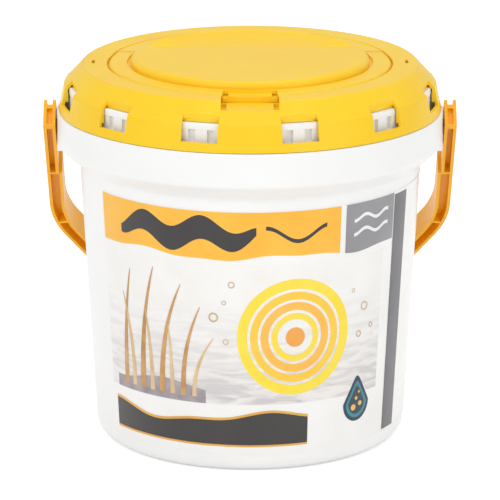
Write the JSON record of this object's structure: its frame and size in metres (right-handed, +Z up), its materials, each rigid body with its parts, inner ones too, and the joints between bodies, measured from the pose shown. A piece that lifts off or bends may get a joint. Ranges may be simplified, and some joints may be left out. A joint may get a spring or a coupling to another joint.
{
  "type": "aerated bait bucket",
  "caption": "Round insulated bait bucket with a swinging bail, a push-on lid, a flip door over the lid's well and a battery aerator in that well.",
  "frame": {"origin": "centre of the base, on the surface that the bucket stands on", "axes": "+Z up; the front, with the finger notch of the lid, faces -Y; +X is to the right seen from the front, along the bail's pivots"},
  "size_m": [0.2652, 0.2484, 0.2485],
  "materials": {
    "bucket_white": "smooth moulded polyethylene",
    "liner_foam": "moulded bead foam",
    "label_film": "printed film",
    "bail_yellow": "moulded",
    "lid_yellow": "moulded",
    "door_yellow": "moulded",
    "steel_wire": "drawn wire",
    "case_white": "moulded",
    "seal_rubber": "soft",
    "screw_steel": "plated",
    "cell_jacket": "printed jacket",
    "contact_metal": "nickel plated strip",
    "switch_black": "moulded",
    "button_dark": "moulded",
    "motor_steel": "drawn can",
    "motor_cap": "moulded",
    "crank_white": "moulded acetal",
    "pump_black": "moulded",
    "tube_clear": "soft tube",
    "lead_red": "insulation",
    "lead_black": "insulation"
  },
  "bodies": {
    "bucket": {"bucket_shell": "bucket_white", "foam_liner": "liner_foam", "front_label": "label_film"},
    "bail": {"bail_handle": "bail_yellow"},
    "lid": {"lid": "lid_yellow", "hinge_pin": "steel_wire", "aerator_lower_case": "case_white", "aerator_top_case": "case_white", "case_seal": "seal_rubber", "case_screws": "screw_steel", "battery_left": "cell_jacket", "battery_right": "cell_jacket", "contact_bridge": "contact_metal", "contact_positive": "contact_metal", "contact_negative": "contact_metal", "battery_springs": "steel_wire", "power_switch": "switch_black", "motor_can": "motor_steel", "motor_end_cap": "motor_cap", "motor_clamp": "contact_metal", "clamp_screws": "screw_steel", "pump_body": "pump_black", "pump_cap": "pump_black", "pump_diaphragm": "seal_rubber", "internal_air_tube": "tube_clear", "air_outlet_nipple": "case_white", "lead_battery_to_switch": "lead_red", "lead_switch_to_motor": "lead_red", "lead_motor_to_battery": "lead_black"},
    "door": {"flip_door": "door_yellow"},
    "button": {"switch_button": "button_dark"},
    "rotor": {"motor_shaft": "steel_wire", "crank": "crank_white"},
    "rod": {"connecting_rod": "crank_white"}
  },
  "joints": [
    {"name": "bail_swing", "type": "hinge", "parent": "bucket", "child": "bail", "pos_m": [0, 0, 0.201], "axis": [1, 0, 0], "range_deg": [0, 275]},
    {"name": "lid_lift", "type": "slide", "parent": "bucket", "child": "lid", "axis": [0, 0, 1], "range_m": [0, 0.1]},
    {"name": "door_hinge", "type": "hinge", "parent": "lid", "child": "door", "pos_m": [0, 0.027, 0.243], "axis": [-1, 0, 0], "range_deg": [0, 100]},
    {"name": "button_press", "type": "slide", "parent": "lid", "child": "button", "axis": [0, 0, -1], "range_m": [0, 0.0015], "stiffness_N_per_m": 800, "springref_m": -0.0004},
    {"name": "motor_spin", "type": "hinge", "parent": "lid", "child": "rotor", "pos_m": [0.0526, -0.02, 0.2196], "axis": [0, 1, 0], "continuous": true},
    {"name": "pump_stroke", "type": "slide", "parent": "lid", "child": "rod", "axis": [0, 0, 1], "range_m": [-0.0012, 0.0012], "stiffness_N_per_m": 150, "deforming": ["pump_diaphragm"]}
  ]
}
